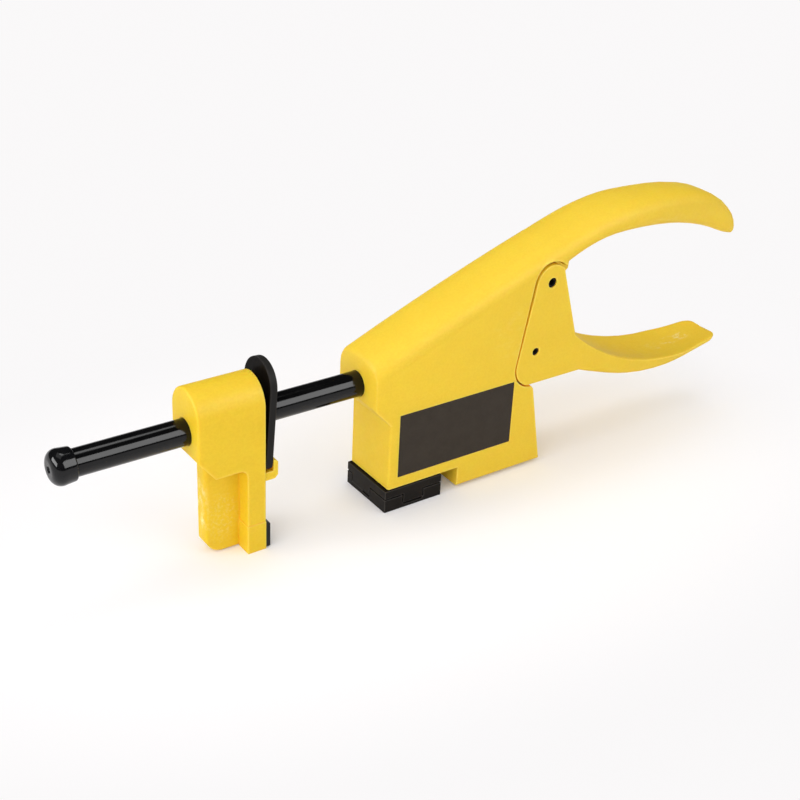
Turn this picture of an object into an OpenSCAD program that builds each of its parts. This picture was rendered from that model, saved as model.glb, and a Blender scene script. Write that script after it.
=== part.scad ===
// Framing point driver: a hand tool that squeezes framing points into the rebate of a picture frame.
// The head holds the point inside the frame, the jaw hooks over the outside of the frame,
// and the lever draws the rod back so that jaw and head close on each other.
// Lengths are in millimetres. X runs along the rod towards the handle, Y across, Z up from the table.
// Distances along X are counted from the axis on which the head turns, until place() centres the tool.

/* [Clamp rod] */
// Diameter of the clamp rod
rod_d = 9.525; // [8.5:0.025:10.5]
// Height of the rod's axis above the table
rod_z = 50; // [48:0.5:56]
// From the head's axis forward to the rod's front end
rod_front = 132.6; // [125:0.1:170]
// Length of the rod behind the drive pin
rod_tail = 5; // [4:0.25:6]
// Wall of the push-on end cap
cap_wall = 1.5; // [1.2:0.1:2.4]
// Length of the end cap
cap_len = 8; // [6:0.5:14]
// How much the cap narrows towards its open end, on the radius
cap_draft = 0.4; // [0:0.05:0.6]
// Radius on the closed end of the cap
cap_round = 3.6; // [1.5:0.1:4.5]

/* [Driver head] */
// Width of the square head
head_w = 25.4; // [22:0.2:27]
// Height of the head
head_h = 9; // [8:0.1:11]
// Thickness of the head's upper plate
head_plate_t = 3.7; // [3:0.1:4.2]
// Open joint line between the head's two parts
head_joint = 0.5; // [0.1:0.05:0.8]
// Height of the slots that hold a point
slot_h = 0.8; // [0.4:0.05:0.9]
// Thickness of the lip under the slots
slot_lip = 1.2; // [0.8:0.1:1.6]
// Depth of the slots from the head's sides
slot_deep = 4; // [2.5:0.1:5]
// Width of the slot for pointed inserts, on the front and back
point_slot_w = 4.8; // [3:0.1:6.4]
// Width of the tongue above that slot
point_tongue_w = 11.7; // [9:0.1:13]
// Width of the slot and tongue on the two other sides
wide_slot_w = 8.6; // [5:0.1:12]
// Gap between the head and the housing
head_gap = 0.5; // [0.4:0.05:0.8]
// Room between the head's turning corners and the foot
head_swing_gap = 2.3; // [1:0.1:4]
// Shoulder diameter of the head's screw
screw_shoulder_d = 5; // [4.5:0.1:6]
// Thread diameter of the head's screw
screw_thread_d = 4; // [3:0.1:4.2]
// Outside diameter of the screw's head
screw_head_d = 8.4; // [7.5:0.1:9.5]
// Height of the screw's head
screw_head_h = 2.2; // [1.8:0.1:2.4]
// Length of the threaded insert in the housing
insert_len = 10; // [6:0.5:14]
// Wall of the threaded insert
insert_wall = 1.1; // [0.8:0.1:1.8]

/* [Housing] */
// Width of the housing, the handle and the lever
body_w = 25; // [24:0.5:30]
// From the head's axis forward to the nose
nose_reach = 18.2; // [16:0.2:22]
// Height of the nose above the rod's axis
nose_up = 11.5; // [9.5:0.5:16]
// Depth of the nose below the rod's axis
nose_down = 5.6; // [5.4:0.1:7]
// Height of the slope under the nose
nose_slope_h = 8; // [4:0.5:14]
// From the head's axis forward to the lower front wall
front_reach = 11.4; // [8:0.2:12.5]
// Height of the foot above the table
foot_lift = 1.3; // [0.5:0.1:3]
// Length of the foot along its sole
foot_len = 40; // [34:0.5:44]
// How far the foot's back leans in from sole to ledge
foot_lean = 6.2; // [3:0.2:10]
// Radius on the edges of the nose
nose_round = 1.6; // [0.6:0.1:2.5]
// Radius on the upright edges of the lower front wall
front_round = 0.8; // [0.4:0.1:2]
// Length of the label
label_len = 52; // [40:0.5:52]
// Height of the label
label_h = 26; // [18:0.5:26]
// Distance from the lower front wall to the label
label_inset = 4; // [3:0.1:8]
// Distance from the housing's underside to the label
label_rise = 4.1; // [3:0.1:8]
// Thickness of the label
label_t = 0.2; // [0.1:0.05:0.25]
// Depth of the recess that takes the label
label_recess = 0.3; // [0.25:0.05:0.6]

/* [Handle] */
// From the head's axis back to the tip of the handle
handle_reach = 160.8; // [150:0.2:175]
// Height of the handle's crown above the rod
crown_up = 50.4; // [46:0.5:56]
// From the lever's pivot back to the crown
crown_back = 45; // [38:0.5:52]
// Height of the handle's tip above the rod
tip_up = 24.4; // [22:0.2:32]
// Thickness of the handle at its crown
handle_t = 11; // [9:0.2:14]
// Thickness of the handle at its tip
tip_t = 5; // [4:0.2:9]
// Half width of the handle at its tip
tip_half = 6.6; // [5.4:0.2:9]

/* [Lever] */
// From the head's axis back to the lever's pivot
pivot_back = 58.6; // [56:0.2:62]
// Height of the pivot above the rod's axis
pivot_up = 27.2; // [25:0.2:30]
// How far the drive pin rests ahead of the pivot
crank_lead = 5; // [4:0.1:6]
// Full swing of the lever in degrees
lever_swing = 22; // [10:1:22]
// Radius of the lever's top round the pivot
lever_dome_r = 7.1; // [6.5:0.1:8]
// Radius of the lever's heel
lever_heel_r = 8.2; // [7:0.1:9]
// Drop of the heel's centre below the rod's axis
heel_drop = 5.7; // [4.5:0.1:7]
// Gap between the lever's front edge and the housing
lever_gap = 0.7; // [0.5:0.05:1.2]
// Width of the housing's lug between the lever's cheeks
lug_w = 11; // [10.6:0.2:13]
// Gap between the lug and each cheek
cheek_gap = 0.3; // [0.2:0.05:0.6]
// From the head's axis back to the lever's tip
lever_reach = 157.6; // [148:0.1:170]
// Height of the lever's low point above the table
lever_low = 25.2; // [22:0.2:30]
// Depth of the dish in the lever's grip
dish = 2.2; // [0.5:0.1:3]
// Thickness of the lever at its tip
lever_tip_t = 3.4; // [2.2:0.1:4]
// Half width of the lever at its tip
lever_tip_half = 9; // [7:0.2:11]
// Diameter of the pivot pin
pivot_pin_d = 3.97; // [3.2:0.01:5]
// Diameter of the drive pin
drive_pin_d = 3.175; // [2.4:0.005:4]
// Wall of the rolled pins
pin_wall = 0.7; // [0.5:0.05:1]
// How far the pins' ends lie below the lever's sides
pin_sunk = 0.5; // [0.2:0.1:1.5]

/* [Jaw] */
// Width of the jaw
jaw_w = 19.2; // [17:0.2:22]
// Rest position: from the head's axis forward to the jaw's back face
jaw_rest = 61; // [56:0.5:90]
// Length of the jaw's block along the rod
jaw_len = 25.3; // [20:0.5:30]
// Height from the rod's axis to the centre of the jaw's rounded top
jaw_arch_up = 6.5; // [4:0.5:9]
// Depth of the jaw's block below the rod's axis
jaw_down = 15.7; // [13:0.2:17]
// Length of the slope under the front of the block
jaw_slope_l = 6.2; // [3:0.2:9]
// Height of that slope
jaw_slope_h = 7.8; // [3:0.2:8]
// Thickness of the jaw's leg
leg_t = 6.9; // [5:0.1:9]
// Fillet between block and leg
leg_fillet = 3; // [1:0.2:5]
// Radius on the front edges of the block
jaw_round = 1; // [0.4:0.1:2]
// Width of the rib in front of the leg
rib_w = 6.6; // [4:0.2:10]
// Radius on the front edges of the rib
rib_edge = 1.6; // [0.6:0.1:1.9]
// Length of the rib ahead of the leg
rib_l = 13.3; // [8:0.2:16]
// Radius at the rib's lower front corner
rib_round = 6.5; // [3:0.5:9]
// Height of the thicker band at the foot of the leg
band_h = 11.2; // [8:0.2:14]
// How far that band stands out at each side
band_proud = 0.35; // [0.2:0.05:0.8]
// Height of the pad
pad_h = 11.2; // [9:0.2:16]
// Thickness of the pad
pad_t = 1.9; // [1.5:0.1:4]
// Chamfer along the pad's top edge
pad_chamfer = 1.8; // [0.5:0.1:2.4]

/* [Lock plate] */
// Thickness of the lock plate
plate_t = 2.8; // [2:0.1:4]
// Width of the lock plate
plate_w = 18.4; // [16:0.2:21]
// Height of the plate above the rod's axis
plate_up = 20.3; // [18:0.1:26]
// Depth of the plate below the rod's axis
plate_down = 19; // [17:0.2:21]
// Lean of the plate at rest in degrees
plate_lean = 3.6; // [3:0.1:6]
// Thickness of the hook that carries the plate
hook_t = 1.8; // [1.2:0.1:3]
// Height of the hook's lip
hook_lip = 4.2; // [2.5:0.1:5]
// Thickness of the hook's ledge
hook_ledge = 3.2; // [2:0.1:4.5]
// Depth of the pocket for the lock spring
lock_pocket = 9; // [6:0.5:12]
// Wire diameter of the lock spring
lock_wire = 1; // [0.8:0.05:1.2]
// Turns of the lock spring
lock_turns = 4; // [3:1:4]

/* [Return spring] */
// From the head's axis back to the front of the spring chamber
chamber_back = 2; // [-2:0.5:6]
// Wire diameter of the return spring
return_wire = 1.2; // [0.9:0.05:1.4]
// Turns of the return spring
return_turns = 9; // [6:1:11]
// Thickness of the retaining ring
ring_t = 1; // [0.8:0.1:1.5]
// How deep the ring sits in the rod
ring_deep = 0.9; // [0.5:0.05:1.2]
// Thickness of the thrust washer
washer_t = 0.8; // [0.5:0.1:1.5]
// Length of the rear guide bush
bush_len = 7; // [5:0.5:10]
// Wall between the rod and the outside of the spring chamber
chamber_wall = 2.45; // [2.4:0.05:3.2]

/* [Hidden] */

$fn = 64;
over = 1;
far = 60;
fit_press = 0.02;
fit_run = 0.06;
fit_slide = 0.1;
stop_gap = 0.3;
seam = 0.1;
edge_steps = 6;

// Finishes
yellow = [0.94, 0.78, 0.2];
black = [0.06, 0.06, 0.065];
dark_steel = [0.16, 0.16, 0.17];
label_dark = [0.13, 0.11, 0.1];
steel = [0.66, 0.67, 0.69];
brass = [0.78, 0.62, 0.28];
rubber = [0.08, 0.08, 0.08];

// Rod and what lies along it
rod_r = rod_d / 2;
cap_front = -rod_front - cap_wall;
chamber_r = rod_r + chamber_wall;
ring_x = chamber_back + stop_gap;
washer_x = ring_x + ring_t;
spring_x = washer_x + washer_t;
spring_r = rod_r + chamber_wall / 2;

// Head
head_half = head_w / 2;
block_h = head_h - head_plate_t;
under_z = head_h + head_gap;
foot_front = head_half * sqrt(2) + head_swing_gap;
foot_back = foot_front + foot_len;
screw_sunk = 0.8;
screw_seat = screw_sunk + screw_head_h + seam;

// Lever: X and Z of its points at rest
pivot = [pivot_back, rod_z + pivot_up];
drive = [pivot_back - crank_lead, rod_z];
heel = [drive[0] - 0.08 * crank_lead, rod_z - heel_drop];
lever_floor = heel[1] - lever_heel_r;
crank_r = norm(pivot - drive);
crank_rest = asin(crank_lead / crank_r);
crank_end = lever_swing - crank_rest;
pin_rise = max(crank_r - pivot_up, pivot_up - crank_r * cos(crank_end), 0);
half = body_w / 2;
cheek_in = lug_w / 2 + cheek_gap;

// Jaw: X of its faces at rest
jaw_back = -jaw_rest;
jaw_front = jaw_back - jaw_len;
leg_front = jaw_back - leg_t;
jaw_half = jaw_w / 2;
arch_z = rod_z + jaw_arch_up;
block_z = rod_z - jaw_down;
plate_gap = 0.25;
plate_foot = [jaw_back + plate_gap, rod_z - plate_down];
hook_in = plate_gap + (plate_t + hook_lip * sin(plate_lean)) / cos(plate_lean) + seam;
coil_gap = 0.55;
lock_r = rod_r + lock_wire / 2 + coil_gap;
lock_pocket_r = lock_r + lock_wire / 2 + coil_gap;

// Basic geometry
function mix(a, b, t) = a + (b - a) * t;
function ease(t) = t * t * (3 - 2 * t);
function bez(p, t) = pow(1 - t, 3) * p[0] + 3 * t * pow(1 - t, 2) * p[1]
    + 3 * t * t * (1 - t) * p[2] + pow(t, 3) * p[3];
function polar(r, a) = [r * cos(a), r * sin(a)];
function arc(c, r, a0, a1, n) = [for (i = [0:n]) c + polar(r, mix(a0, a1, i / n))];
function unit(v) = v / norm(v);
function flip(list) = [for (i = [len(list) - 1:-1:0]) list[i]];

// Direction, as an angle, of the outer tangent's normal for two circles on the forward side
function tangent_angle(c0, r0, c1, r1) =
    let (d = c1 - c0)
    atan2(d[1], d[0]) + acos((r0 - r1) / norm(d));

// One section of a moulded form. It stands between a point of the belly and one of the crest, both X and Z.
// up and down give height and reach of the upper and lower rounding, sag the hollow in the top.
section_steps = 6;
section_power = 0.84;
dish_power = 4;
function bend(a) = sign(a) * pow(abs(a), section_power);
function section(belly, crest, w, up, down, sag = 0) =
    let (length_z = norm(crest - belly), dir = (crest - belly) / length_z)
    [for (q = [0:3], i = [0:section_steps])
        let (
            a = 90 * (q + i / section_steps),
            top = q < 2,
            side = q == 0 || q == 3 ? 1 : -1,
            round_z = top ? up[0] : down[0],
            round_y = top ? up[1] : down[1],
            y = side * (w - round_y) + round_y * bend(cos(a)),
            rim = top ? length_z - round_z + round_z * bend(sin(a)) : down[0] + round_z * bend(sin(a)),
            hollow = top ? sag * pow(max(0, sin(a)), dish_power) : 0,
            p = belly + dir * (rim - hollow)
        )
        [p[0], y, p[1]]];

// Skin through sections that all have the same count of points
module loft(sections) {
    m = len(sections[0]);
    n = len(sections);
    points = [for (s = sections) each s];
    sides = [for (i = [0:n - 2], j = [0:m - 1])
        let (k = (j + 1) % m)
        each [[i * m + j, i * m + m + j, i * m + m + k], [i * m + j, i * m + m + k, i * m + k]]];
    first = [for (j = [0:m - 1]) j];
    last = [for (j = [m - 1:-1:0]) (n - 1) * m + j];
    polyhedron(points, concat([first], sides, [last]));
}

// Solid of a side outline, given as X and Z, across a width centred on the tool
module side_slab(outline, width) {
    translate([0, width / 2, 0])
        rotate([90, 0, 0])
            linear_extrude(width)
                polygon(outline);
}

// Cylinder along X from one place to another at the rod's height
module rod_cylinder(r, x0, x1) {
    translate([x0, 0, rod_z])
        rotate([0, 90, 0])
            cylinder(r = r, h = x1 - x0);
}

// Cylinder across the tool at an X and Z
module cross_cylinder(r, at, length) {
    translate([at[0], length / 2, at[1]])
        rotate([90, 0, 0])
            cylinder(r = r, h = length);
}

// Upright column whose two front edges are rounded
module front_rounded(x0, x1, width, r, z0, z1) {
    translate([0, 0, z0])
        linear_extrude(z1 - z0)
            polygon(concat(
                arc([x0 + r, width / 2 - r], r, 90, 180, edge_steps),
                arc([x0 + r, r - width / 2], r, 180, 270, edge_steps),
                [[x1, -width / 2], [x1, width / 2]]
            ));
}

// Solid of a profile turned about the rod's axis: points are place along X and radius
module turned(profile) {
    translate([0, 0, rod_z])
        rotate([0, 90, 0])
            rotate_extrude()
                polygon([for (p = profile) [p[1], p[0]]]);
}

// Coil spring along X as one unbroken wire, with a straight end on each seat
coil_steps = 8;
wire_sides = 6;
function coil_path(r, wire, x0, x1, turns, start) =
    let (
        lead = wire * 180 / (PI * r),
        run = x1 - x0 - 4 * wire,
        steps = turns * coil_steps,
        ends = [[0, 0], [wire, 0], [wire * 1.5, lead * 0.15], [wire * 1.87, lead * 0.5]],
        climb = [for (i = [0:steps]) [2 * wire + run * i / steps, lead + 360 * turns * i / steps]],
        turned_end = 2 * lead + 360 * turns,
        tail = [for (e = flip(ends)) [x1 - x0 - e[0], turned_end - e[1]]]
    )
    [for (p = concat(ends, climb, tail)) [x0 + p[0], r * cos(start + p[1]), r * sin(start + p[1])]];
function least_gap(path, wire) =
    min([for (i = [0:len(path) - 1], j = [i + 4:1:len(path) - 1])
        if (norm(path[i] - path[j]) > 1.2 * wire || j > i + coil_steps) norm(path[i] - path[j]) - wire]);

module coil(path, wire) {
    n = len(path);
    points = [for (i = [0:n - 1])
        let (
            along = unit(path[min(i + 1, n - 1)] - path[max(i - 1, 0)]),
            out = unit([0, path[i][1], path[i][2]]),
            side = cross(along, out)
        )
        for (k = [0:wire_sides - 1])
            path[i] + wire / 2 * (out * cos(360 * k / wire_sides) + side * sin(360 * k / wire_sides))];
    sides = [for (i = [0:n - 2], j = [0:wire_sides - 1])
        let (k = (j + 1) % wire_sides, a = i * wire_sides, b = a + wire_sides)
        each [[a + j, b + k, b + j], [a + j, a + k, b + k]]];
    first = [for (j = [wire_sides - 1:-1:0]) j];
    last = [for (j = [0:wire_sides - 1]) (n - 1) * wire_sides + j];
    translate([0, 0, rod_z])
        polyhedron(points, concat([first], sides, [last]));
}

// Side view of the handle: crest and belly as curves that meet at the shoulder, the crown and the tip
handle_run = handle_reach - pivot_back;
shoulder = [pivot[0] + 0.48 * lever_dome_r, rod_z + mix(nose_up, crown_up, 0.768)];
shoulder_slope = 0.33;
crown = [pivot[0] + crown_back, rod_z + crown_up];
tip = [handle_reach, rod_z + tip_up];
tip_normal = polar(tip_t / 2, 40);
under_crown = crown - [0.11 * handle_run, handle_t];
belly_start = pivot + lever_dome_r * [1.04, 0.73];
crest_rear = [
    shoulder,
    shoulder + 0.14 * handle_run * [1, shoulder_slope],
    crown - [0.14 * handle_run, 0],
    crown
];
crest_tip = [
    crown,
    crown + [0.29 * handle_run, 0],
    tip + tip_normal + handle_run * [-0.1, 0.2],
    tip + tip_normal
];
belly_rear = [
    belly_start,
    belly_start + handle_run * [0.045, 0.027],
    under_crown - [0.12 * handle_run, 0],
    under_crown
];
belly_tip = [
    under_crown,
    under_crown + [0.2 * handle_run, 0],
    tip - tip_normal + handle_run * [-0.18, 0.12],
    tip - tip_normal
];

// Crest of the housing ahead of the shoulder, slightly bowed
crest_bow = 1;
function crest_z(x) =
    let (t = (x + nose_reach) / (shoulder[0] + nose_reach))
    mix(rod_z + nose_up, shoulder[1], t) + crest_bow * 4 * t * (1 - t);

arch_share = 0.6;
shoulder_t = norm(shoulder - belly_start);
arch_front = 8;
sole_round = 1;
rear_wall = foot_back + 2;

function body_section(t, inset) =
    let (
        x = mix(-nose_reach, shoulder[0], t),
        foot_x = mix(-nose_reach, rear_wall, t),
        w = half - inset,
        arch = mix(arch_front, arch_share * shoulder_t, t)
    )
    section([foot_x, foot_lift], [x, crest_z(x) - inset], w, [arch, 0.86 * w], [sole_round, sole_round]);

function nose_sections() =
    [for (a = [0, 45])
        body_section(nose_round * (1 - cos(a)) / (shoulder[0] + nose_reach), nose_round * (1 - sin(a)))];
function body_sections() =
    [for (i = [0:6]) body_section(mix(nose_round / (shoulder[0] + nose_reach), 1, i / 6), 0)];

// Sections of the handle, from the shoulder (0) over the crown (1) to the tip (2)
tip_from = 1.86;
tip_nose = 0.5;
function handle_section(s) =
    let (
        crest = s < 1 ? bez(crest_rear, s) : bez(crest_tip, s - 1),
        belly = s < 1 ? bez(belly_rear, s) : bez(belly_tip, s - 1),
        u = max(0, (s - tip_from) / (2 - tip_from)),
        f = max(0.06, sqrt(1 - u * u)),
        middle = mix(belly, crest, tip_nose),
        taper = ease(max(0, (s - 0.95) / 1.05)),
        flat = ease(max(0, s - 1)),
        w = mix(half, tip_half, taper) - 0.6 * tip_t * (1 - f),
        thick = norm(crest - belly) * f
    )
    section(
        middle + f * (belly - middle), middle + f * (crest - middle), w,
        [mix(arch_share, 0.4, flat) * thick, mix(mix(0.86, 0.94, min(1, s)), 0.45, flat) * w],
        [(0.96 - arch_share) * thick, 0.45 * w]);
handle_steps = concat([for (i = [0:8]) i / 8], [for (i = [1:8]) 1 + i / 10],
    [1.86, 1.91, 1.95, 1.98, 2]);
function handle_sections() = [for (s = handle_steps) handle_section(s)];
handle_end = max([for (s = handle_sections(), p = s) p[0]]);

// The tool is centred on the middle of its length
frame_x = -(cap_front + handle_end) / 2;
module place() {
    translate([frame_x, 0, 0])
        children();
}

// Edge of the lever from its heel up the front and over the dome, pushed out by a gap
function lever_edge(gap, dome_gap, dome_end) =
    let (
        r0 = lever_heel_r + gap,
        r1 = lever_dome_r + dome_gap,
        a = tangent_angle(heel, r0, pivot, r1)
    )
    concat(arc(heel, r0, 270, a, 10), arc(pivot, r1, a, dome_end, 14));

// Space behind the housing: everything on the lever's side of its edge, down the back of the foot
dome_gap = 1.9 * lever_gap;
ledge = [foot_back - foot_lean, lever_floor - 2.7 * lever_gap];
module rear_space() {
    foot_rise = ledge[1] - foot_lift;
    below = [foot_back + foot_lean * (foot_lift + over) / foot_rise, -over];
    side_slab(concat(
        [below, ledge],
        lever_edge(lever_gap, dome_gap, 35),
        [
            belly_start + [seam, 0],
            pivot + lever_dome_r * [2.2, 0.1],
            pivot + [far, -far / 3],
            [pivot[0] + far, -over]
        ]
    ), body_w + 2 * over);
}

// Web behind the lug, up to the belly of the handle: it closes the gap over the lever's dome
module web() {
    side_slab([for (q = [[0.5, -0.2], [1.6, -0.12], [1.84, 0.08], [1.97, 1.42], [0.5, 1.39]])
        pivot + lever_dome_r * q], lug_w);
}

// Lug between the lever's cheeks that carries the pivot pin
lug_r = 0.9 * lever_dome_r;
module lug() {
    web();
    cross_cylinder(lug_r, pivot, lug_w);
    translate([pivot[0] - 2 * lug_r, -lug_w / 2, pivot[1]])
        cube([3 * lug_r, lug_w, 2 * lug_r]);
    translate([pivot[0] - 2 * lug_r, -lug_w / 2, pivot[1] - lug_r])
        cube([2 * lug_r, lug_w, 2 * lug_r]);
}

label_x = -front_reach + label_inset;
label_z = under_z + label_rise;
insert_r = screw_thread_d / 2 + insert_wall;
slope_z = rod_z - nose_down - nose_slope_h;

module housing() {
    color(yellow) place() difference() {
        union() {
            loft(concat(nose_sections(), body_sections(), handle_sections()));
            web();
        }
        // set-back wall and slope under the nose
        side_slab([
            [-nose_reach - over, -over],
            [-front_reach, -over],
            [-front_reach, slope_z],
            [-nose_reach, rod_z - nose_down],
            [-nose_reach - over, rod_z - nose_down]
        ], body_w + 2 * over);
        // rounded upright edges of that wall
        difference() {
            translate([-front_reach - over, -half - over, under_z - over])
                cube([front_round + over, body_w + 2 * over, slope_z - under_z + over]);
            front_rounded(-front_reach, 0, body_w, front_round, 0, slope_z + over);
        }
        // room for the head
        translate([-nose_reach - over, -half - over, -over])
            cube([nose_reach + over + foot_front, body_w + 2 * over, under_z + over]);
        difference() {
            rear_space();
            lug();
        }
        rod_cylinder(rod_r + fit_slide, -nose_reach - over, chamber_back + over);
        rod_cylinder(chamber_r, chamber_back, drive[0]);
        cross_cylinder(pivot_pin_d / 2 + fit_run, pivot, body_w);
        translate([0, 0, under_z - over])
            cylinder(r = insert_r + fit_press, h = insert_len + over + 1);
        translate([label_x, -half - over, label_z])
            cube([label_len, label_recess + over, label_h]);
    }
}

module side_label() {
    color(label_dark) place()
        translate([label_x + seam, -half + label_recess - label_t, label_z + seam])
            cube([label_len - 2 * seam, label_t, label_h - 2 * seam]);
}

bush_back = drive[0] - lever_heel_r - lever_gap - stop_gap * 4;
bush_front = bush_back - bush_len;

module rod_guide_bush() {
    color(brass) place() difference() {
        rod_cylinder(chamber_r - fit_press, bush_front, bush_back);
        rod_cylinder(rod_r + fit_run, bush_front - over, bush_back + over);
    }
}

module head_insert() {
    color(brass) place() difference() {
        translate([0, 0, under_z])
            cylinder(r = insert_r, h = insert_len);
        translate([0, 0, under_z - over])
            cylinder(r = screw_thread_d / 2 + fit_press, h = insert_len + 2 * over);
    }
}

hex_across = 3;
module head_screw() {
    color(steel) place() difference() {
        union() {
            translate([0, 0, screw_sunk])
                cylinder(d = screw_head_d, h = screw_head_h);
            translate([0, 0, screw_sunk])
                cylinder(d = screw_shoulder_d, h = under_z - screw_sunk);
            translate([0, 0, screw_sunk])
                cylinder(d = screw_thread_d, h = under_z - screw_sunk + insert_len - over);
        }
        translate([0, 0, screw_sunk - over])
            cylinder(d = hex_across / cos(30), h = over + screw_head_h * 0.7, $fn = 6);
    }
}

module head_spring_washer() {
    washer_r = head_half * 0.55;
    color(steel) place() difference() {
        translate([0, 0, head_h + seam / 2])
            cylinder(r = washer_r, h = head_gap - seam);
        translate([0, 0, head_h - over])
            cylinder(r = screw_shoulder_d / 2 + fit_slide, h = head_gap + 2 * over);
    }
}

return_path = coil_path(spring_r, return_wire, spring_x, bush_front, return_turns, 90);
module return_spring() {
    color(steel) place() coil(return_path, return_wire);
}

rod_chamfer = 0.8;
module clamp_rod() {
    rod_end = drive[0] + rod_tail;
    groove_r = rod_r - ring_deep;
    slot_r = drive_pin_d / 2 + fit_slide;
    color(black) place() difference() {
        turned([
            [-rod_front, 0],
            [-rod_front, rod_r - rod_chamfer],
            [-rod_front + rod_chamfer, rod_r],
            [ring_x, rod_r],
            [ring_x, groove_r],
            [washer_x, groove_r],
            [washer_x, rod_r],
            [rod_end - rod_chamfer, rod_r],
            [rod_end, rod_r - rod_chamfer],
            [rod_end, 0]
        ]);
        // upright slot that lets the drive pin rise and fall as it swings
        for (s = [-1, 1])
            cross_cylinder(slot_r, drive + [0, s * (pin_rise + seam)], body_w);
        translate([drive[0] - slot_r, -half, rod_z - pin_rise - seam])
            cube([2 * slot_r, body_w, 2 * (pin_rise + seam)]);
    }
}

module rod_end_cap() {
    cap_r = rod_r + cap_wall;
    cap_back = cap_front + cap_len;
    lip = (cap_wall - cap_draft) / 2;
    vent_r = 0.9;
    color(black) place() difference() {
        turned(concat(
            [[cap_front, 0]],
            [for (p = arc([cap_front + cap_round, cap_r - cap_round], cap_round, 180, 90, 8)) p],
            [for (p = arc([cap_back - lip, cap_r - cap_draft - lip], lip, 90, 0, 4)) p],
            [[cap_back, 0]]
        ));
        rod_cylinder(rod_r + fit_press, -rod_front, cap_back + over);
        rod_cylinder(vent_r, cap_front - over, cap_front + cap_wall / 2);
    }
}

ring_proud = 1.7;
module retaining_ring() {
    gap_half = 2;
    color(dark_steel) place() difference() {
        rod_cylinder(rod_r + ring_proud, ring_x + seam / 2, washer_x - seam / 2);
        rod_cylinder(rod_r - ring_deep + fit_press, ring_x - over, washer_x + over);
        translate([ring_x - over, -gap_half, rod_z - chamber_r])
            cube([ring_t + 2 * over, 2 * gap_half, chamber_r]);
    }
}

module spring_washer() {
    color(steel) place() difference() {
        rod_cylinder(chamber_r - stop_gap, washer_x, spring_x);
        rod_cylinder(rod_r + fit_run, washer_x - over, spring_x + over);
    }
}

// Side view of the lever's grip, from the cheeks' back edge to the tip
cheek_slope = 0.2926;
cheek_back = pivot + lever_dome_r * [0.746, 0.521];
function cheek_edge(z) = [cheek_back[0] + (cheek_back[1] - z) * cheek_slope, z];
grip_top = rod_z + 0.55 * lever_dome_r;
grip_run = lever_reach - pivot_back;
lever_tip = [lever_reach, lever_low + 1.3 * lever_tip_t];
lever_crest = [
    cheek_edge(grip_top),
    cheek_edge(grip_top) + grip_run * [0.132, -0.122],
    [pivot[0] + 0.507 * grip_run, lever_low + 1.03 * lever_tip_t],
    [lever_tip[0] - 0.2 * grip_run, lever_low + 1.1 * lever_tip_t]
];
lever_crest_tip = [
    lever_crest[3],
    lever_crest[3] + [0.07 * grip_run, 0.03 * lever_tip_t],
    lever_tip + [-0.07 * grip_run, 0.3 * lever_tip_t],
    lever_tip + [0, 0.5 * lever_tip_t]
];
lever_belly = [
    cheek_edge(lever_floor),
    cheek_edge(lever_floor) + grip_run * [0.09, -0.035],
    [pivot[0] + 0.395 * grip_run, lever_low - 0.15 * lever_tip_t],
    [lever_tip[0] - 0.345 * grip_run, lever_low]
];
lever_belly_tip = [
    lever_belly[3],
    lever_belly[3] + [0.14 * grip_run, 0],
    lever_tip + [-0.09 * grip_run, -0.73 * lever_tip_t],
    lever_tip - [0, 0.5 * lever_tip_t]
];
lever_rim_r = 1.2;
lever_under_r = 3.5;
lever_under_reach = 5;
lever_round_from = 1.92;
lever_corner = 4.6;
lever_corner_from = 1.74;
function lever_section(s) =
    let (
        crest = s < 1 ? bez(lever_crest, s) : bez(lever_crest_tip, s - 1),
        belly = s < 1 ? bez(lever_belly, s) : bez(lever_belly_tip, s - 1),
        u = max(0, (s - lever_round_from) / (2 - lever_round_from)),
        f = max(0.3, sqrt(1 - u * u)),
        c = max(0, (s - lever_corner_from) / (2 - lever_corner_from)),
        corner = lever_corner * (1 - sqrt(1 - c * c)),
        middle = (crest + belly) / 2,
        w = mix(half, lever_tip_half, ease(max(0, (s - 0.5) / 1.5))) - corner,
        thick = norm(crest - belly) * f,
        rim = min(lever_rim_r, 0.4 * thick),
        under = min(mix(sole_round, lever_under_r, ease(min(1, 2.5 * s))), 0.5 * thick),
        sag = dish * ease(min(1, s / 0.7)) * (1 - 0.4 * ease(max(0, s - 1)))
    )
    section(middle + f * (belly - middle), middle + f * (crest - middle), w,
        [rim, 0.9 * w], [under, min(0.9 * w, mix(sole_round, lever_under_reach, ease(min(1, 2 * s))))],
        min(sag, 0.42 * thick));
lever_steps = concat([0.02], [for (i = [1:9]) i / 10], [for (i = [0:5]) 1 + i * 0.15],
    [1.82, 1.88, 1.92, 1.95, 1.97, 1.985, 1.995, 2]);
function cheek_section(foot, top) =
    section(foot, top, half, [sole_round, sole_round], [sole_round, sole_round]);
cheek_front = heel[0] - lever_heel_r - over;
function lever_sections() = concat(
    [
        cheek_section([cheek_front, lever_floor], [cheek_front, crown[1]]),
        cheek_section(cheek_edge(lever_floor), cheek_edge(crown[1]))
    ],
    [for (s = lever_steps) lever_section(s)]);

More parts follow.
